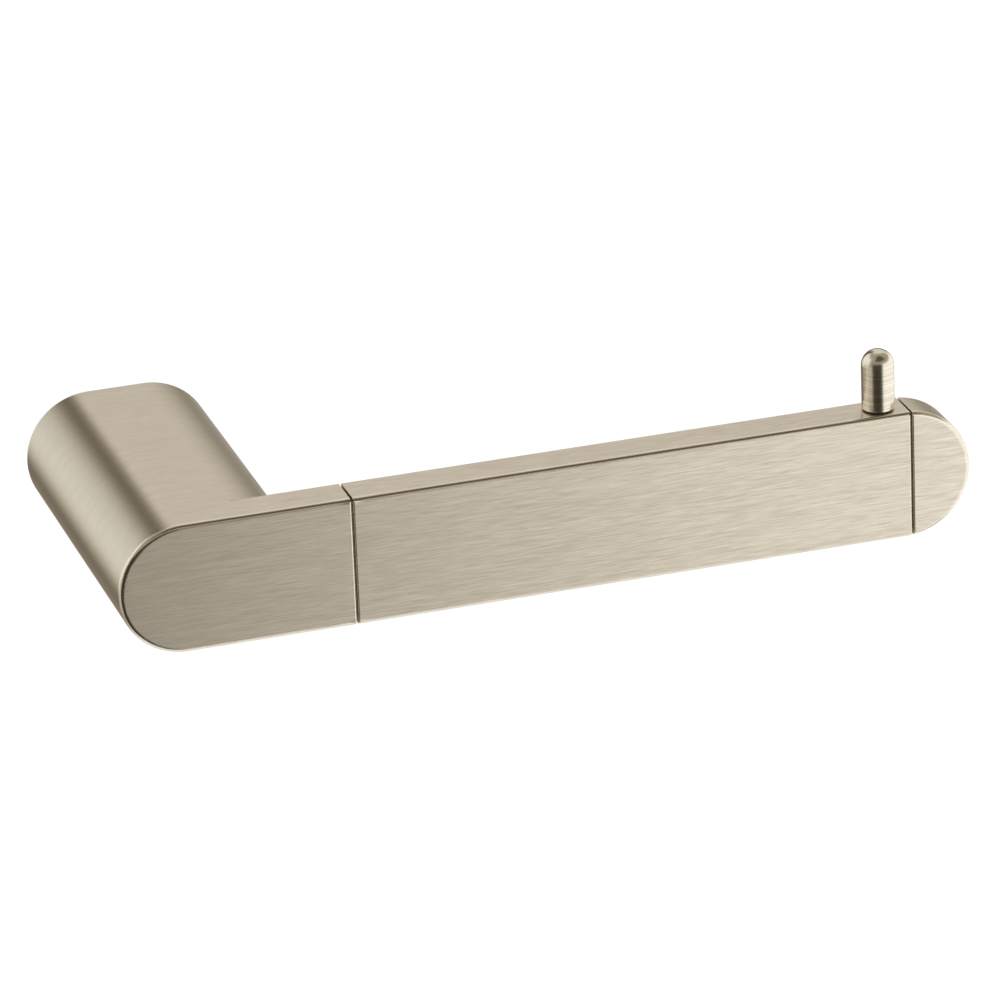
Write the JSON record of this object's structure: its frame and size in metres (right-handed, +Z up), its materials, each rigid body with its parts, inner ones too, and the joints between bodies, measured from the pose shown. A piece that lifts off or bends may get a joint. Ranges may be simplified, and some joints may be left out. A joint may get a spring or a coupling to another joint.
{
  "type": "toilet paper holder",
  "caption": "Wall-mounted toilet paper holder: a round-sided hollow post, an open flat arm in three sections, and a domed pin near the free end that keeps the roll on.",
  "frame": {"origin": "middle of the wall bracket's back face, on the face of the wall", "axes": "+X along the arm to its free end, +Y into the wall, +Z up"},
  "size_m": [0.18, 0.095, 0.0405],
  "materials": {
    "brushed_nickel": "warm brushed nickel plating, lengthwise hairlines on the arm, round the girth on the post",
    "turned_nickel": "warm nickel plating, fine turned rings, polished dome",
    "cast_zinc": "plain die-cast zinc, tumbled",
    "zinc_plated_steel": "bright zinc plating",
    "black_steel": "black oxide",
    "black_nylon": "plain moulded",
    "grey_nylon": "plain moulded"
  },
  "bodies": {
    "wall_side": {"wall_bracket": "cast_zinc", "wall_screw_left": "zinc_plated_steel", "wall_screw_right": "zinc_plated_steel", "wall_anchor_left": "grey_nylon", "wall_anchor_right": "grey_nylon"},
    "holder": {"post_shell": "brushed_nickel", "bar_section": "brushed_nickel", "end_cap": "brushed_nickel", "tie_rod": "zinc_plated_steel", "dowel_inner": "zinc_plated_steel", "dowel_outer": "zinc_plated_steel", "roll_stop_pin": "turned_nickel", "pin_washer": "black_nylon", "end_cap_screw": "black_steel"},
    "clamp": {"clamp_screw": "black_steel"}
  },
  "joints": [
    {"name": "holder_lift_off", "type": "slide", "parent": "wall_side", "child": "holder", "axis": [0, -1, 0], "range_m": [0, 0.025]},
    {"name": "clamp_screw_travel", "type": "slide", "parent": "holder", "child": "clamp", "axis": [0, 0, -1], "range_m": [0, 0.0025]}
  ]
}
